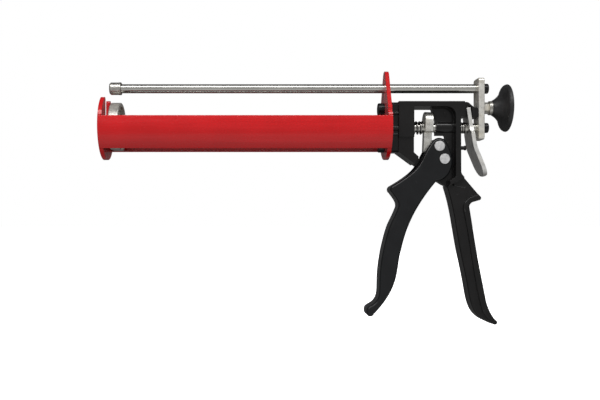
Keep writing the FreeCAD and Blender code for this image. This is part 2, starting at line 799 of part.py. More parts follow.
def handle_body():
    """The casting: frame, web, bosses, hook arm and fixed grip in one piece."""
    body = new_body("handle_body")
    grip = new_sketch(body, "grip_outline", "XZ_Plane")
    grip_outline(grip)
    pad(body, grip, "2 * Sizes.grip_half_width")
    half_grip = size("grip_half_width")
    round_edges(
        body, "Sizes.grip_rounding",
        lambda edge: lies_flat(edge, "Y", half_grip) and edge.CenterOfMass.z < -62,
    )
    tang = new_sketch(body, "tang_outline", "XZ_Plane")
    tang_outline(tang)
    pad(body, tang, "2 * Sizes.tang_half_width")
    palm = new_sketch(body, "palm_outline", "XZ_Plane")
    palm_outline(palm)
    pad(body, palm, "2 * Sizes.palm_half_width")
    half_palm = size("palm_half_width")
    round_edges(
        body, "Sizes.palm_rounding",
        lambda edge: lies_flat(edge, "Y", half_palm) and edge.Length > 2.2,
    )
    frame = new_sketch(body, "frame_outline", "XZ_Plane")
    frame_outline(frame)
    pad(body, frame, "2 * Sizes.frame_half_width")
    arm = new_sketch(body, "hook_outline", "XZ_Plane")
    hook_outline(arm)
    pad(body, arm, "2 * Sizes.arm_half_width")

    boss = new_sketch(body, "front_boss", "YZ_Plane", "Sizes.plate_thickness")
    boss_outline(boss)
    pad(body, boss, "10", symmetric=False)

    # The frame's lower front stands back from the block above it.
    step = new_sketch(body, "lower_front", "XZ_Plane", "Sizes.frame_half_width - Sizes.cheek_step")
    step_far = new_sketch(body, "lower_front_far", "XZ_Plane", "Sizes.cheek_step - Sizes.frame_half_width")
    for sketch in (step, step_far):
        polygon(sketch, [(10, -10.3), (30, -10.3), (36, -30), (31, -45), (10, -28)])
    pocket(body, step, "Sizes.cheek_step + 1", reverse=True)
    pocket(body, step_far, "Sizes.cheek_step + 1")

    # A recess on each side leaves the web; the window goes right through it.
    near = new_sketch(body, "near_pocket", "XZ_Plane", "Sizes.web_half_width")
    far = new_sketch(body, "far_pocket", "XZ_Plane", "-Sizes.web_half_width")
    for sketch in (near, far):
        trigger_pocket_outline(sketch)
    pocket(body, near, "20", reverse=True)
    pocket(body, far, "20")
    window = new_sketch(body, "window", "XZ_Plane")
    window_outline(window)
    pocket(body, window)

    # Round marks that the mould's ejector pins left on both sides.
    marks = {
        "web": ("Sizes.web_half_width", [(61.0, 13.2), (62.4, -12.6)]),
        "spur": ("Sizes.tang_half_width", [(70.4, -64.6)]),
    }
    for place, (level, centres) in marks.items():
        for name, sign in (("near", ""), ("far", "-")):
            mark = new_sketch(body, f"{place}_marks_{name}", "XZ_Plane", f"{sign}{level}")
            for centre in centres:
                circle(mark, centre, "Sizes.ejector_radius")
            pocket(body, mark, "Sizes.ejector_depth", reverse=bool(sign))

    # Bosses for the rod and for the trigger's pivot.
    rod_boss = new_sketch(body, "rod_boss", "YZ_Plane", "50.9")
    circle(rod_boss, (0, 0), "Sizes.rod_boss_radius")
    pad(body, rod_boss, "18", symmetric=False)
    pivot_boss = new_sketch(body, "pivot_boss", "XZ_Plane")
    circle(pivot_boss, (size("pivot_x"), size("pivot_z")), "Sizes.pivot_boss_radius")
    pad(body, pivot_boss, "2 * Sizes.pivot_boss_half")

    # Bores: rod, pivot, the two springs' seats and the cradle's screws.
    rod_bore = new_sketch(body, "rod_bore", "YZ_Plane")
    circle(rod_bore, (0, 0), "Sizes.rod_radius + Sizes.rod_running_gap")
    pocket(body, rod_bore)
    pivot_bore = new_sketch(body, "pivot_bore", "XZ_Plane")
    circle(pivot_bore, (size("pivot_x"), size("pivot_z")), "Sizes.pivot_radius")
    pocket(body, pivot_bore)
    spring_bore = new_sketch(body, "spring_bore", "YZ_Plane", "Sizes.spring_bore_start")
    circle(spring_bore, (0, 0), "Sizes.spring_bore_radius")
    pocket(body, spring_bore, "12", reverse=True)
    brake_bore = new_sketch(body, "brake_bore", "YZ_Plane", "Sizes.brake_bore_start")
    circle(brake_bore, (0, 0), "Sizes.brake_bore_radius")
    pocket(body, brake_bore, "8", reverse=True)
    screw_bores = new_sketch(body, "screw_bores", "YZ_Plane")
    for side in (1, -1):
        circle(screw_bores, (0, side * size("cradle_screw_spread")), "Sizes.cradle_shank_radius")
    pocket(body, screw_bores, "Sizes.cradle_shank_length", reverse=True)
    stop_bore = new_sketch(body, "stop_bore", "YZ_Plane", "78")
    circle(stop_bore, (0, -20.0), "Sizes.stop_radius")
    pocket(body, stop_bore, "7")
    return name_node(body, "handle_body")


def release_stop():
    """Short pin in the rear wall that limits the release lever."""
    shank = cylinder_along_x("stop_shank", "71", "Sizes.stop_length", "Sizes.stop_radius", "-20")
    head = cylinder_along_x("stop_head", "71 + Sizes.stop_length - 1.6", "1.6", "Sizes.stop_head_radius", "-20")
    return name_node(fuse("release_stop", shank, head), "release_stop")


# ---------------------------------------------------------------- trigger group

def trigger_outline(sketch):
    """Side view of the trigger: cheeks above, finger hook, and the curved lever down to its curled foot."""
    trace(
        sketch, (46.2, -14.2),
        ("arc", (54.6, -11.0), (60.4, -16.0)),
        ("curve", (63.8, -23.5), (65.9, -32.9), (64.4, -42.0)),
        ("arc", (58.9, -50.2), (49.7, -54.1)),
        ("curve", (41.4, -64.6), (32.5, -77.8), (24.8, -92.2), (19.3, -106.5), (15.4, -120.9)),
        ("curve", (12.6, -135.3), (10.5, -147.4), (7.6, -156.8), (2.7, -166.7), (-3.9, -176.1), (-11.6, -184.9)),
        ("arc", (-16.2, -187.0), (-19.0, -182.9)),
        ("curve", (-17.6, -177.9), (-12.9, -174.9), (-8.2, -169.9), (-6.5, -163.2), (-6.2, -155.2)),
        ("curve", (-5.6, -141.7), (-3.6, -127.1), (-0.4, -112.5), (4.0, -97.8), (8.6, -87.9), (11.8, -80.6)),
        ("curve", (12.6, -76.0), (9.6, -69.6), (6.2, -64.9)),
        ("arc", (4.3, -61.1), (6.8, -57.7)),
        ("curve", (12.8, -54.1), (21.9, -47.9), (31.4, -38.9), (37.4, -28.4), (46.2, -14.2)),
    )


def trigger_channel(sketch):
    """The hollow between the cheeks, open at the back and the top, that clears the frame and the grip."""
    trace(
        sketch, (30.0, -4.0),
        ("line", (24.5, -42.5)),
        ("curve", (20.0, -56.0), (20.5, -70.0), (18.8, -80.0)),
        ("curve", (12.0, -95.0), (5.8, -112.5), (2.4, -127.1), (0.6, -141.7), (0.2, -153.0)),
        ("line", (14.0, -153.0)),
        ("line", (34.0, -100.0)),
        ("line", (64.0, -66.0)),
        ("line", (76.0, -40.0)),
        ("line", (76.0, -4.0)),
        ("line", (30.0, -4.0)),
    )


def trigger():
    """Cast lever of U section, whose two cheeks straddle the frame's web."""
    body = new_body("trigger")
    outline = new_sketch(body, "trigger_outline", "XZ_Plane")
    trigger_outline(outline)
    pad(body, outline, "2 * Sizes.trigger_half_width")
    half = size("trigger_half_width")
    round_edges(body, "Sizes.trigger_rounding", lambda edge: lies_flat(edge, "Y", half))
    channel = new_sketch(body, "trigger_channel", "XZ_Plane")
    trigger_channel(channel)
    before = body.Shape.Volume
    hollow = body.newObject("PartDesign::Pocket", "trigger_hollow")
    hollow.Profile = channel
    hollow.Type = "Length"
    hollow.SideType = "Symmetric"
    hollow.setExpression("Length", "2 * Sizes.channel_half_width")
    doc.recompute()
    if body.Shape.Volume > before - 100:
        raise RuntimeError("the trigger's channel cuts nothing")
    holes = new_sketch(body, "trigger_holes", "XZ_Plane")
    circle(holes, (size("pivot_x"), size("pivot_z")), "Sizes.pivot_radius + Sizes.pivot_gap")
    circle(holes, (size("pin_x"), size("pin_z")), "Sizes.pin_radius")
    pocket(body, holes)
    return name_node(body, "trigger")


def rivet(name, radius, across, height, head_gap):
    """Shaft along Y with a low round head on each end."""
    seat = f"(Sizes.trigger_half_width + {head_gap})"
    shaft = cylinder_along_y(f"{name}_shaft", seat, radius, across, height)
    heads = []
    for place, start in (("near", f"-{seat} - Sizes.rivet_head_height"), ("far", seat)):
        head = cylinder_along_y(
            f"{name}_{place}_head", "1", "Sizes.rivet_head_radius", across, height,
            start=start, length="Sizes.rivet_head_height",
        )
        doc.recompute()
        outer = max(abs(head.Shape.BoundBox.YMin), abs(head.Shape.BoundBox.YMax))
        heads.append(soften(f"{name}_{place}_soft", head, 0.45, lambda edge: lies_flat(edge, "Y", outer, 0.01)))
    return fuse(name, shaft, *heads)


def pivot_rivet():
    piece = rivet("pivot_rivet", "Sizes.pivot_radius", "Sizes.pivot_x", "Sizes.pivot_z", "Sizes.rivet_head_gap")
    return name_node(piece, "pivot_rivet")


def drive_pin():
    return name_node(rivet("drive_pin", "Sizes.pin_radius", "Sizes.pin_x", "Sizes.pin_z", "0"), "drive_pin")


def drive_bush():
    """Hardened sleeve on the drive pin, which pushes the drive plate's tail."""
    sleeve = cylinder_along_y("bush_blank", "Sizes.bush_half", "Sizes.bush_radius", "Sizes.pin_x", "Sizes.pin_z")
    bore = cylinder_along_y("bush_bore", "Sizes.bush_half", "Sizes.pin_radius", "Sizes.pin_x", "Sizes.pin_z")
    return name_node(cut("drive_bush", sleeve, bore), "drive_bush")


def drive_plate():
    """Gripping plate on the drive rod: a round head, and a narrow tail that the trigger's bush pushes."""
    body = new_body("drive_plate")
    sketch = new_sketch(body, "drive_plate_outline", "YZ_Plane")
    head, centre = size("drive_head_radius"), size("drive_head_centre")
    tail, end = size("drive_tail_half"), size("drive_tail_end")
    shoulder = -2.6
    trace(
        sketch, (head, centre),
        ("arc", (0, centre + head), (-head, centre)),
        ("line", (-head, shoulder)),
        ("arc", (0.64 - head, shoulder - 1.56), (2.2 - head, shoulder - 2.2)),
        ("line", (-tail - 1, shoulder - 2.2)),
        ("arc", (-tail - 0.3, shoulder - 2.5), (-tail, shoulder - 3.2)),
        ("line", (-tail, end + 1.5)),
        ("arc", (-tail + 0.44, end + 0.44), (-tail + 1.5, end)),
        ("line", (tail - 1.5, end)),
        ("arc", (tail - 0.44, end + 0.44), (tail, end + 1.5)),
        ("line", (tail, shoulder - 3.2)),
        ("arc", (tail + 0.3, shoulder - 2.5), (tail + 1, shoulder - 2.2)),
        ("line", (head - 2.2, shoulder - 2.2)),
        ("arc", (head - 0.64, shoulder - 1.56), (head, shoulder)),
        ("line", (head, centre)),
    )
    circle(sketch, (0, 0), "Sizes.drive_hole_radius")
    pad(body, sketch, "Sizes.drive_plate_thickness")
    hole = size("drive_hole_radius")
    round_edges(
        body, "0.6",
        lambda edge: edge.BoundBox.XLength < 0.01 and abs(edge.BoundBox.YLength - 2 * hole) > 0.5,
    )
    body.Placement = Placement(Vector(), Rotation(Vector(0, 1, 0), size("drive_plate_lean")))
    body.setExpression("Placement.Base.x", "Sizes.drive_plate_x")
    return name_node(body, "drive_plate")


# ---------------------------------------------------------------- release lever and springs

def release_lever():
    """Bent plate: its upper half binds on the drive rod, its lower half is the thumb pad."""
    body = new_body("release_lever")
    half = size("lever_thickness") / 2
    top, knee_above, knee_below, end = (81.75, 19.0), (86.9, -15.0), (90.1, -25.6), (98.9, -46.8)

    def beside(start, finish, at, side):
        run = math.dist(start, finish)
        return (
            at[0] + side * half * (start[1] - finish[1]) / run,
            at[1] + side * half * (finish[0] - start[0]) / run,
        )

    def knee(side):
        above = beside(top, knee_above, knee_above, side)
        below = beside(knee_below, end, knee_below, side)
        return above, ((above[0] + below[0]) / 2 - 0.42, (above[1] + below[1]) / 2 - 0.15), below

    run = math.dist(knee_below, end)
    run_x, run_z = (end[0] - knee_below[0]) / run, (end[1] - knee_below[1]) / run
    rear_above, rear_knee, rear_below = knee(1)
    front_above, front_knee, front_below = knee(-1)
    strip = new_sketch(body, "lever_strip", "XZ_Plane")
    trace(
        strip, beside(top, knee_above, top, 1),
        ("line", rear_above),
        ("arc", rear_knee, rear_below),
        ("line", beside(knee_below, end, end, 1)),
        ("arc", (end[0] + half * run_x, end[1] + half * run_z), beside(knee_below, end, end, -1)),
        ("line", front_below),
        ("arc", front_knee, front_above),
        ("line", beside(top, knee_above, top, -1)),
        ("line", beside(top, knee_above, top, 1)),
    )
    pad(body, strip, "2 * Sizes.lever_pad_half")
    narrow, wide = size("lever_top_half"), size("lever_pad_half")
    for name, side in (("near", -1), ("far", 1)):
        trim = new_sketch(body, f"lever_trim_{name}", "YZ_Plane")
        trace(
            trim, (side * narrow, 30),
            ("line", (side * narrow, 2.0)),
            ("arc", (side * (narrow + 0.9), -2.2), (side * wide, -6.0)),
            ("line", (side * (wide + 4), -6.0)),
            ("line", (side * (wide + 4), 30)),
            ("line", (side * narrow, 30)),
        )
        pocket(body, trim)
        corner = new_sketch(body, f"lever_corner_{name}", "YZ_Plane")
        trace(
            corner, (side * wide, -36.0),
            ("arc", (side * 10.6, -44.8), (side * 2.0, -48.6)),
            ("line", (side * 2.0, -52.0)),
            ("line", (side * (wide + 4), -52.0)),
            ("line", (side * (wide + 4), -36.0)),
            ("line", (side * wide, -36.0)),
        )
        pocket(body, corner)
    hole = new_sketch(body, "lever_hole", "YZ_Plane")
    circle(hole, (0, 0), "Sizes.lever_hole_radius")
    pocket(body, hole)
    return name_node(body, "release_lever")


def coil_spring(label, start, length, coil_radius, wire_radius, pitch):
    """Compression spring along X."""
    helix = doc.addObject("Part::Helix", f"{label}_path")
    helix.setExpression("Pitch", pitch)
    helix.setExpression("Height", length)
    helix.setExpression("Radius", coil_radius)
    wire = doc.addObject("Part::Circle", f"{label}_wire")
    wire.setExpression("Radius", wire_radius)
    wire.Placement = Placement(Vector(), Rotation(Vector(1, 0, 0), 90))
    wire.setExpression("Placement.Base.x", coil_radius)
    doc.recompute()
    sweep = doc.addObject("Part::Sweep", label)
    sweep.Sections = [wire]
    sweep.Spine = (helix, [f"Edge{n + 1}" for n in range(len(helix.Shape.Edges))])
    sweep.Solid = True
    sweep.Frenet = True
    sweep.Placement = Placement(Vector(), Rotation(Vector(0, 1, 0), 90))
    sweep.setExpression("Placement.Base.x", start)
    return name_node(sweep, label)


def springs():
    coil_spring(
        "main_spring", "Sizes.main_spring_start", "Sizes.main_spring_length",
        "Sizes.main_coil_radius", "Sizes.main_wire_radius", "Sizes.main_pitch",
    )
    coil_spring(
        "brake_spring", "Sizes.brake_spring_start", "Sizes.brake_spring_length",
        "Sizes.brake_coil_radius", "Sizes.brake_wire_radius", "Sizes.brake_pitch",
    )


# ---------------------------------------------------------------- build, test and write

def build():
    front_plate()
    rail("rail_near", -1)
    rail("rail_far", 1)
    rear_plate()
    cradle_screws()
    handle_body()
    release_stop()
    trigger()
    pivot_rivet()
    drive_pin()
    drive_bush()
    drive_plate()
    springs()
    release_lever()
    drive_rod()
    push_rod()
    push_rod_cap()
    main_piston()
    piston_nut()
    yoke_plate()
    yoke_screws()
    knob_stud()
    knob_nut()
    knob_ferrule()
    knob()
    doc.recompute()


def test():
    """Stop before anything is written if a feature failed or a piece isn't sound."""
    for item in doc.Objects:
        if {"Invalid", "Error"} & set(item.State):
            raise RuntimeError(f"{item.Name} failed: {item.State}")
    for node in NODES:
        if node.Shape.isNull() or not node.Shape.isValid() or not node.Shape.Solids:
            raise RuntimeError(f"{node.Label} isn't a valid solid")


def write():
    os.makedirs("parts", exist_ok=True)
    for node in NODES:
        node.Shape.exportStep(f"parts/{node.Label}.step")
        box = node.Shape.BoundBox
        print(f"{node.Label}: {len(node.Shape.Solids)} solid(s), {node.Shape.Volume / 1000:.2f} cm3,"
              f" X {box.XMin:.1f}..{box.XMax:.1f} Z {box.ZMin:.1f}..{box.ZMax:.1f}")


build()
test()
write()
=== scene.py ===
"""The looks of the twin-rod dispensing gun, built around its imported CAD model."""

import math

import bmesh
import bpy
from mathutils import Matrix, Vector


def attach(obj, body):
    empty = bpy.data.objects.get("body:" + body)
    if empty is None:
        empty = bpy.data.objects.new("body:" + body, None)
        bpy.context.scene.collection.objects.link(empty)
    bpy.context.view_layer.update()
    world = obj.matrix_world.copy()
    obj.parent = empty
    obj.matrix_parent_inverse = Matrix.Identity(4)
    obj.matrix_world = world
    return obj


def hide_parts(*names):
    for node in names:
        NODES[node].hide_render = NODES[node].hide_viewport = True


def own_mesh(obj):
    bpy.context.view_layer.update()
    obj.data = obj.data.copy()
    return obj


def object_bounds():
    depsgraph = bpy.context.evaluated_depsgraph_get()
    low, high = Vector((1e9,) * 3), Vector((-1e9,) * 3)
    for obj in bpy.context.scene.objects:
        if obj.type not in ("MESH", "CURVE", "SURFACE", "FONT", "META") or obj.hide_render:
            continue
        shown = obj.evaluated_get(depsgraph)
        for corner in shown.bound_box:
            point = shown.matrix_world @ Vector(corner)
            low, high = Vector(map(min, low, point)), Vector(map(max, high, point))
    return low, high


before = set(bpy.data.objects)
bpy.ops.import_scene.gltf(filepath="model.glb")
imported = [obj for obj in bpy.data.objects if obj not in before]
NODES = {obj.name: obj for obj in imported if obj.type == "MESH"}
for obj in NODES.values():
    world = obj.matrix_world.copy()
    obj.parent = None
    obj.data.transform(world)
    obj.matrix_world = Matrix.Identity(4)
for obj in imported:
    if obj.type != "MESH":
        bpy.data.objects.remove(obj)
cad_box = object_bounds()
MM = 0.001
BEVEL_SAMPLES = 6


# ---------------------------------------------------------------- node helpers

def set_range(node, low, high, out_low, out_high):
    for name, number in (("From Min", low), ("From Max", high), ("To Min", out_low), ("To Max", out_high)):
        node.inputs[name].default_value = number


class Look:
    """A material's node tree, with short calls for the nodes that the looks below share."""

    def __init__(self, name):
        self.material = bpy.data.materials.new(name)
        self.material.use_nodes = True
        self.tree = self.material.node_tree
        self.shader = self.tree.nodes["Principled BSDF"]
        self.place = self.tree.nodes.new("ShaderNodeTexCoord").outputs["Object"]

    def link(self, source, target):
        self.tree.links.new(source, target)

    def feed(self, socket, value):
        if isinstance(value, bpy.types.NodeSocket):
            self.link(value, socket)
        else:
            socket.default_value = value

    def node(self, kind, **inputs):
        made = self.tree.nodes.new(kind)
        for name, value in inputs.items():
            self.feed(made.inputs[name], value)
        return made

    def stretched(self, x=1.0, y=1.0, z=1.0):
        """The object's own coordinates, with each axis scaled."""
        made = self.node("ShaderNodeMapping", Vector=self.place)
        made.inputs["Scale"].default_value = (x, y, z)
        return made.outputs["Vector"]

    def noise(self, size_mm, detail=3.0, rough=0.55, place=None, distortion=0.0):
        """Noise whose blobs are about size_mm across."""
        made = self.node("ShaderNodeTexNoise", Vector=place or self.place, Scale=1 / (size_mm * MM),
                         Detail=detail, Roughness=rough, Distortion=distortion)
        return made.outputs["Fac"]

    def cells(self, size_mm):
        """Distance to the nearest point of a scatter about size_mm apart."""
        made = self.node("ShaderNodeTexVoronoi", Vector=self.place, Scale=1.0 / (size_mm * MM))
        return made.outputs["Distance"]

    def band(self, value, low, high, out_low=0.0, out_high=1.0):
        """Value stretched from low..high to out_low..out_high, and held at the ends."""
        made = self.node("ShaderNodeMapRange", Value=value)
        set_range(made, low, high, out_low, out_high)
        return made.outputs["Result"]

    def math(self, operation, a, b=0.0):
        made = self.tree.nodes.new("ShaderNodeMath")
        made.operation = operation
        self.feed(made.inputs[0], a)
        self.feed(made.inputs[1], b)
        return made.outputs[0]

    def mix(self, factor, a, b):
        made = self.tree.nodes.new("ShaderNodeMix")
        made.data_type = "RGBA"
        self.feed(made.inputs[0], factor)
        self.feed(made.inputs[6], a)
        self.feed(made.inputs[7], b)
        return made.outputs[2]

    def rounded(self, radius_mm):
        """Normals that turn softly over the edges."""
        made = self.tree.nodes.new("ShaderNodeBevel")
        made.samples = BEVEL_SAMPLES
        made.inputs["Radius"].default_value = radius_mm * MM
        return made.outputs["Normal"]

    def bump(self, height, depth_mm, normal=None, strength=1.0):
        made = self.node("ShaderNodeBump", Height=height)
        made.inputs["Distance"].default_value = depth_mm * MM
        made.inputs["Strength"].default_value = strength
        if normal:
            self.link(normal, made.inputs["Normal"])
        return made.outputs["Normal"]

    def edge_wear(self, radius_mm, low, high):
        """1 on worn edges: where the rounded normal leaves the true one."""
        geometry = self.tree.nodes.new("ShaderNodeNewGeometry")
        dot = self.tree.nodes.new("ShaderNodeVectorMath")
        dot.operation = "DOT_PRODUCT"
        self.link(geometry.outputs["Normal"], dot.inputs[0])
        self.link(self.rounded(radius_mm), dot.inputs[1])
        bend = self.math("SUBTRACT", 1.0, dot.outputs["Value"])
        broken = self.math("MULTIPLY", bend, self.band(self.noise(2.2, 4), 0.38, 0.62))
        return self.band(broken, low, high)

    def surface(self, color, roughness, normal, **fixed):
        self.feed(self.shader.inputs["Base Color"], color)
        self.feed(self.shader.inputs["Roughness"], roughness)
        self.link(normal, self.shader.inputs["Normal"])
        for name, value in fixed.items():
            self.shader.inputs[name.replace("_", " ")].default_value = value
        return self.material


def rgb(red, green, blue):
    """A linear colour from the 0..255 values seen on a screen."""
    def linear(value):
        value /= 255
        return value / 12.92 if value <= 0.04045 else ((value + 0.055) / 1.055) ** 2.4
    return (linear(red), linear(green), linear(blue), 1.0)


# ---------------------------------------------------------------- materials

def red_enamel(name, inner_shade=0.0):
    """Glossy red paint with painted pink reflection streaks; on the rails, the inner side is darkened as
    painted shade.
    """
    look = Look(name)
    cloud = look.band(look.noise(38, 3), 0.35, 0.65)
    # painted reflection: lighter pink streaks drawn out along X are laid into the paint colour to stand in
    # for streaky reflections on the glossy enamel.
    painted_reflection_streaks = look.band(look.noise(3.0, 4, place=look.stretched(0.035, 1, 1)), 0.42, 0.72)
    color = look.mix(cloud, rgb(190, 9, 14), rgb(199, 12, 18))
    color = look.mix(look.math("MULTIPLY", painted_reflection_streaks, 0.22), color, rgb(216, 36, 42))
    wear = look.edge_wear(0.5, 0.10, 0.22)
    color = look.mix(look.math("MULTIPLY", wear, 0.75), color, rgb(96, 20, 20))
    # painted shade: the rails' inner face, within about 31 mm of the axis, is darkened towards deep red to
    # stand in for the shade it lies in.
    if inner_shade:
        split = look.node("ShaderNodeSeparateXYZ", Vector=look.place)
        squares = [look.math("MULTIPLY", split.outputs[axis], split.outputs[axis]) for axis in ("Y", "Z")]
        radius = look.math("SQRT", look.math("ADD", *squares))
        painted_inner_shade = look.band(radius, 30.6 * MM, 31.2 * MM, inner_shade, 0.0)
        color = look.mix(painted_inner_shade, color, rgb(96, 8, 12))
    rough = look.band(look.noise(6, 4), 0.3, 0.7, 0.18, 0.30)
    peel = look.bump(look.noise(1.3, 2), 0.035, look.rounded(0.7), 0.35)
    wave = look.bump(look.noise(9, 2, place=look.stretched(0.06, 1, 1)), 0.6, peel, 0.75)
    return look.surface(color, rough, wave, Coat_Weight=0.50, Coat_Roughness=0.05, Specular_IOR_Level=0.20,
                        Sheen_Weight=0.12, Sheen_Roughness=0.28)


def cast_black(name, tint, edge_mm):
    """Powder-coated die casting: fine grain, worn edges, faint scuffs and a parting line."""
    look = Look(name)
    cloud = look.band(look.noise(22, 4), 0.35, 0.68)
    color = look.mix(cloud, rgb(*tint), rgb(*(value + 7 for value in tint)))
    wear = look.edge_wear(0.6, 0.08, 0.20)
    color = look.mix(look.math("MULTIPLY", wear, 0.5), color, rgb(92, 90, 90))
    scuff = look.band(look.noise(4.5, 5, place=look.stretched(1.0, 1, 0.35)), 0.62, 0.74)
    color = look.mix(look.math("MULTIPLY", scuff, 0.10), color, rgb(66, 66, 68))
    rough = look.band(look.noise(8, 5), 0.28, 0.72, 0.30, 0.46)
    grain = look.bump(look.noise(0.55, 2), 0.05, look.rounded(edge_mm), 0.5)
    sink = look.bump(look.noise(14, 2), 0.5, grain, 0.4)
    middle = look.math("ABSOLUTE", look.node("ShaderNodeSeparateXYZ", Vector=look.place).outputs["Y"])
    parting = look.bump(look.band(middle, 0.00015, 0.0004, 1.0, 0.0), 0.12, sink, 0.6)
    return look.surface(color, rough, parting,
                        Specular_IOR_Level=0.12, Coat_Weight=0.45, Coat_Roughness=0.06)


def zinc(name, bright, dull, rough_low, rough_high, tint=0.5, metal=0.72):
    """Zinc plate with its cloudy passivation, warm patches and small stains."""
    look = Look(name)
    cloud = look.band(look.noise(7, 5, distortion=0.6), 0.34, 0.66)
    color = look.mix(cloud, rgb(*dull), rgb(*bright))
    warm = look.band(look.noise(13, 3), 0.45, 0.70, 0.0, tint)
    color = look.mix(warm, color, rgb(bright[0] - 6, bright[1] - 16, bright[2] - 38))
    stains = look.band(look.noise(2.4, 5), 0.63, 0.76)
    color = look.mix(look.math("MULTIPLY", stains, 0.5), color, rgb(112, 106, 98))
    rough = look.band(look.noise(3.5, 5), 0.3, 0.7, rough_low, rough_high)
    brush = look.bump(look.noise(0.5, 3, place=look.stretched(1, 1, 0.2)), 0.03, look.rounded(0.45), 0.5)
    dents = look.bump(look.noise(5, 2), 0.12, brush, 0.4)
    return look.surface(color, rough, dents, Metallic=metal)


def bright_rod():
    """Ground bar with faint stains drawn out along it."""
    look = Look("bright_rod")
    cloud = look.band(look.noise(16, 4, place=look.stretched(0.3, 1, 1)), 0.35, 0.65)
    color = look.mix(cloud, rgb(186, 185, 180), rgb(208, 207, 201))
    stains = look.band(look.noise(6, 5, place=look.stretched(0.2, 1, 1)), 0.62, 0.78)
    color = look.mix(look.math("MULTIPLY", stains, 0.12), color, rgb(150, 144, 136))
    rough = look.band(look.noise(6, 4, place=look.stretched(0.1, 1, 1)), 0.3, 0.7, 0.15, 0.21)
    lines = look.bump(look.noise(0.8, 2, place=look.stretched(0.01, 1, 1)), 0.004, strength=0.05)
    return look.surface(color, rough, lines, Metallic=1.0)


def turned_steel(name, centre_mm, axis, bright, dull, pitch_mm=0.5, metal=1.0):
    """Turned metal, with faint rings round its own axis."""
    look = Look(name)
    split = look.node("ShaderNodeSeparateXYZ", Vector=look.place)
    across = [index for index in range(3) if index != axis]
    squares = []
    for index in across:
        away = look.math("SUBTRACT", split.outputs[index], centre_mm[index] * MM)
        squares.append(look.math("MULTIPLY", away, away))
    radius = look.math("SQRT", look.math("ADD", squares[0], squares[1]))
    along = look.math("ADD", radius, split.outputs[axis])
    rings = look.math("SINE", look.math("MULTIPLY", along, 2 * math.pi / (pitch_mm * MM)))
    cloud = look.band(look.noise(3, 4), 0.35, 0.65)
    color = look.mix(cloud, rgb(*dull), rgb(*bright))
    stains = look.band(look.noise(1.6, 5), 0.62, 0.75)
    color = look.mix(look.math("MULTIPLY", stains, 0.45), color, rgb(88, 84, 80))
    rough = look.band(look.noise(1.8, 4), 0.3, 0.7, 0.28, 0.44)
    ringed = look.bump(rings, 0.02, look.rounded(0.4), 0.35)
    return look.surface(color, rough, ringed, Metallic=metal)


def rivet_steel(name, centre_mm):
    """Blasted rivet heads: pale and even, with a faint turned ring."""
    material = turned_steel(name, centre_mm, 1, (226, 226, 226), (196, 196, 197), 0.9)
    shader = material.node_tree.nodes["Principled BSDF"]
    shader.inputs["Metallic"].default_value = 0.45
    shader.inputs["Specular IOR Level"].default_value = 0.5
    return material


def black_oxide():
    """Blackened steel, rubbed lighter on its edges."""
    look = Look("black_oxide")
    cloud = look.band(look.noise(2.5, 4), 0.35, 0.65)
    color = look.mix(cloud, rgb(24, 24, 26), rgb(40, 39, 40))
    wear = look.edge_wear(0.4, 0.08, 0.2)
    color = look.mix(look.math("MULTIPLY", wear, 0.5), color, rgb(110, 108, 106))
    rough = look.band(look.noise(1.6, 4), 0.3, 0.7, 0.20, 0.32)
    knurl = look.bump(look.noise(0.6, 3), 0.04, look.rounded(0.5), 0.5)
    return look.surface(color, rough, knurl, Metallic=0.55, Specular_IOR_Level=0.5)


def moulded_black():
    """Black moulded plastic with a fine grain and a little dust."""
    look = Look("moulded_black")
    cloud = look.band(look.noise(11, 3), 0.35, 0.65)
    color = look.mix(cloud, rgb(27, 27, 28), rgb(38, 38, 39))
    dust = look.band(look.noise(2.0, 5), 0.64, 0.78)
    color = look.mix(look.math("MULTIPLY", dust, 0.25), color, rgb(84, 82, 80))
    rough = look.band(look.noise(5, 4), 0.3, 0.7, 0.38, 0.52)
    grain = look.bump(look.cells(0.7), 0.05, look.rounded(0.5), 0.4)
    return look.surface(color, rough, grain, Specular_IOR_Level=0.5)


def spring_wire():
    """Drawn spring steel."""
    look = Look("spring_wire")
    cloud = look.band(look.noise(1.4, 4), 0.35, 0.65)
    color = look.mix(cloud, rgb(120, 118, 114), rgb(186, 184, 180))
    rough = look.band(look.noise(0.9, 3), 0.3, 0.7, 0.14, 0.26)
    drawn = look.bump(look.noise(0.25, 2), 0.015, look.rounded(0.15), 0.4)
    return look.surface(color, rough, drawn, Metallic=1.0)


RED = red_enamel("red_enamel")
# 0.8: strength of the painted shade on the rails' inner face.
RAIL = red_enamel("red_rail", 0.8)
BODY = cast_black("cast_black_body", (15, 14, 14), 1.2)
LEVER = cast_black("cast_black_trigger", (16, 17, 19), 1.4)
ZINC = zinc("zinc_yoke", (240, 238, 231), (205, 202, 195), 0.26, 0.42)
ZINC_LEVER = zinc("zinc_lever", (250, 249, 246), (226, 225, 222), 0.30, 0.44, 0.12, 0.88)
ZINC_DRIVE = zinc("zinc_drive_plate", (236, 235, 230), (196, 194, 188), 0.22, 0.38, 0.3)
ROD = bright_rod()
PISTON = turned_steel("turned_piston", (0, 0, 0), 0, (204, 201, 194), (170, 167, 160), 0.6, 0.6)
CAP = turned_steel("turned_cap", (0, 0, 39.2), 0, (210, 208, 202), (166, 163, 157), 0.5)
FERRULE = turned_steel("turned_ferrule", (0, 0, 19.8), 0, (208, 206, 200), (160, 158, 152), 0.4)
PIVOT = rivet_steel("rivet_pivot", (57.7, 0, -31.8))
PIN = rivet_steel("rivet_pin", (52.7, 0, -19.1))
OXIDE = black_oxide()
PLASTIC = moulded_black()
WIRE = spring_wire()

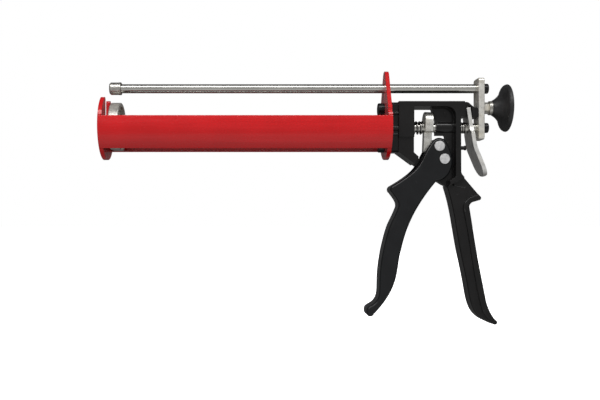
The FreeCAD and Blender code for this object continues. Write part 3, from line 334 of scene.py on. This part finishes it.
FINISH = {
    RED: ["front_plate", "rear_plate"],
    RAIL: ["rail_near", "rail_far"],
    BODY: ["handle_body"],
    LEVER: ["trigger"],
    ZINC: ["yoke_plate", "knob_nut", "piston_nut"],
    ZINC_LEVER: ["release_lever"],
    ZINC_DRIVE: ["drive_plate"],
    ROD: ["drive_rod", "push_rod", "knob_stud"],
    PISTON: ["main_piston"],
    CAP: ["push_rod_cap"],
    FERRULE: ["knob_ferrule"],
    PIVOT: ["pivot_rivet"],
    PIN: ["drive_pin", "drive_bush"],
    OXIDE: ["cradle_screws", "yoke_screws", "release_stop"],
    PLASTIC: ["knob"],
    WIRE: ["main_spring", "brake_spring"],
}


def dress(obj, material):
    obj.data.materials.clear()
    obj.data.materials.append(material)
    for polygon in obj.data.polygons:
        polygon.material_index = 0


for material, names in FINISH.items():
    for name in names:
        dress(NODES[name], material)


# ---------------------------------------------------------------- springs

COIL_SIDES = 12
STEPS_PER_TURN = 40


def coil(name, start, end, coil_radius, wire_radius, turns, dead_turns):
    """Compression spring along X, in millimetres, with closed end turns."""
    count = int(turns * STEPS_PER_TURN)
    dead = dead_turns / turns
    dead_rise = 2.0 * wire_radius * dead_turns
    free = end - start - 2 * wire_radius - 2 * dead_rise

    def rise(share):
        if share < dead:
            return dead_rise * share / dead
        if share > 1 - dead:
            return dead_rise + free + dead_rise * (share - 1 + dead) / dead
        step = (share - dead) / (1 - 2 * dead)
        return dead_rise + free * step

    points = []
    for index in range(count + 1):
        share = index / count
        angle = 2 * math.pi * turns * share
        along = start + wire_radius + rise(share)
        points.append(Vector((along, coil_radius * math.cos(angle), coil_radius * math.sin(angle))))
    mesh = bmesh.new()
    rings = []
    for index, point in enumerate(points):
        ahead = points[min(index + 1, count)] - points[max(index - 1, 0)]
        ahead.normalize()
        out = Vector((0, point.y, point.z)).normalized()
        side = ahead.cross(out).normalized()
        ring = []
        for corner in range(COIL_SIDES):
            turn = 2 * math.pi * corner / COIL_SIDES
            spoke = math.cos(turn) * out + math.sin(turn) * side
            ring.append(mesh.verts.new((point + wire_radius * spoke) * MM))
        rings.append(ring)
    for first, second in zip(rings, rings[1:]):
        for corner in range(COIL_SIDES):
            mesh.faces.new((first[corner], first[corner - 1], second[corner - 1], second[corner]))
    mesh.faces.new(rings[0])
    mesh.faces.new(list(reversed(rings[-1])))
    bmesh.ops.recalc_face_normals(mesh, faces=mesh.faces)
    data = bpy.data.meshes.new(name)
    mesh.to_mesh(data)
    mesh.free()
    for polygon in data.polygons:
        polygon.use_smooth = len(polygon.vertices) == 4
    obj = bpy.data.objects.new(name, data)
    bpy.context.scene.collection.objects.link(obj)
    data.materials.append(WIRE)
    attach(obj, "root")
    return obj


def springs():
    main = coil("main_coil", 17.1, 39.1, 5.7, 1.0, 6.5, 1.0)
    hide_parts("main_spring")
    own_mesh(main)
    brake = coil("brake_coil", 68.6, 81.4, 5.2, 0.55, 6.5, 1.0)
    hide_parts("brake_spring")
    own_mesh(brake)


springs()


# ---------------------------------------------------------------- floor, light and camera

FLOOR_REACH = 8.0
FLOOR_GAP = 0.004             # under the object's lowest point
ROOM_FRONT = 0.46             # strength of the room that the object reflects, on the photographed side
ROOM_BACK = 0.10
ROOM_BELOW = 1.5              # how much brighter the room is towards the floor
GUN_CENTRE = (-0.08, 0, -0.07)
CAMERA_AT = (-0.119, -0.780, -0.090)
LENS_MM = 46.8
FRAME_SHIFT = (0.0583, 0.030)


def add_area(name, at, toward, width, height, power):
    lamp = bpy.data.lights.new(name, "AREA")
    lamp.shape = "RECTANGLE"
    lamp.size = width
    lamp.size_y = height
    lamp.energy = power
    obj = bpy.data.objects.new(name, lamp)
    bpy.context.scene.collection.objects.link(obj)
    obj.location = at
    obj.rotation_euler = (Vector(toward) - Vector(at)).to_track_quat("-Z", "Y").to_euler()
    return obj


def floor_plane(reach, height):
    """Pale floor that the camera sees; it sends no light or reflection onto the object."""
    mesh = bpy.data.meshes.new("floor")
    corners = [(-reach, -reach), (reach, -reach), (reach, reach), (-reach, reach)]
    mesh.from_pydata([(x, y, height) for x, y in corners], [], [(0, 1, 2, 3)])
    obj = bpy.data.objects.new("floor", mesh)
    bpy.context.scene.collection.objects.link(obj)
    material = bpy.data.materials.new("floor_paper")
    material.use_nodes = True
    shader = material.node_tree.nodes["Principled BSDF"]
    shader.inputs["Base Color"].default_value = (0.9, 0.9, 0.9, 1)
    shader.inputs["Roughness"].default_value = 0.9
    shader.inputs["Emission Color"].default_value = (1, 1, 1, 1)
    shader.inputs["Emission Strength"].default_value = 0.97
    mesh.materials.append(material)
    obj.visible_diffuse = False
    obj.visible_glossy = False


def studio_world():
    """White to the camera; to the object, a soft room that is brighter in front and towards the floor."""
    world = bpy.data.worlds.new("studio")
    bpy.context.scene.world = world
    world.use_nodes = True
    tree = world.node_tree
    background = tree.nodes["Background"]
    direction = tree.nodes.new("ShaderNodeTexCoord").outputs["Generated"]
    split = tree.nodes.new("ShaderNodeSeparateXYZ")
    tree.links.new(direction, split.inputs[0])
    front = tree.nodes.new("ShaderNodeMapRange")
    set_range(front, 0.25, -0.55, ROOM_BACK, ROOM_FRONT)
    tree.links.new(split.outputs["Y"], front.inputs["Value"])
    below = tree.nodes.new("ShaderNodeMapRange")
    set_range(below, -0.50, -0.40, ROOM_BELOW, 1.0)
    tree.links.new(split.outputs["Z"], below.inputs["Value"])
    room = tree.nodes.new("ShaderNodeMath")
    room.operation = "MULTIPLY"
    tree.links.new(front.outputs["Result"], room.inputs[0])
    tree.links.new(below.outputs["Result"], room.inputs[1])
    ray = tree.nodes.new("ShaderNodeLightPath")
    choose = tree.nodes.new("ShaderNodeMix")
    choose.inputs[3].default_value = 1.0
    tree.links.new(ray.outputs["Is Camera Ray"], choose.inputs[0])
    tree.links.new(room.outputs[0], choose.inputs[2])
    tree.links.new(choose.outputs[0], background.inputs["Strength"])
    background.inputs["Color"].default_value = (1, 1, 1, 1)


def studio():
    """A long strip overhead makes the highlights; the two fills only lift the shade."""
    floor_plane(FLOOR_REACH, cad_box[0][2] - FLOOR_GAP)
    add_area("overhead", (-0.08, -0.60, 0.76), GUN_CENTRE, 1.9, 0.24, 9)
    front_fill = add_area("front_fill", (-0.75, -1.5, 0.55), GUN_CENTRE, 0.7, 0.7, 5)
    front_fill.visible_glossy = False
    rear_fill = add_area("rear_fill", (0.5, 1.4, 0.6), GUN_CENTRE, 1.6, 0.9, 15)
    rear_fill.visible_glossy = False
    studio_world()


def photo_camera():
    """Level view of the gun's side, framed a little off the lens axis."""
    data = bpy.data.cameras.new("camera")
    data.sensor_width = 36.0
    data.lens = LENS_MM
    data.shift_x, data.shift_y = FRAME_SHIFT
    data.clip_start = 0.01
    camera = bpy.data.objects.new("camera", data)
    bpy.context.scene.collection.objects.link(camera)
    camera.location = CAMERA_AT
    camera.rotation_euler = (math.radians(90), 0, 0)
    bpy.context.scene.camera = camera


studio()
photo_camera()
bpy.context.scene.view_settings.view_transform = "Standard"
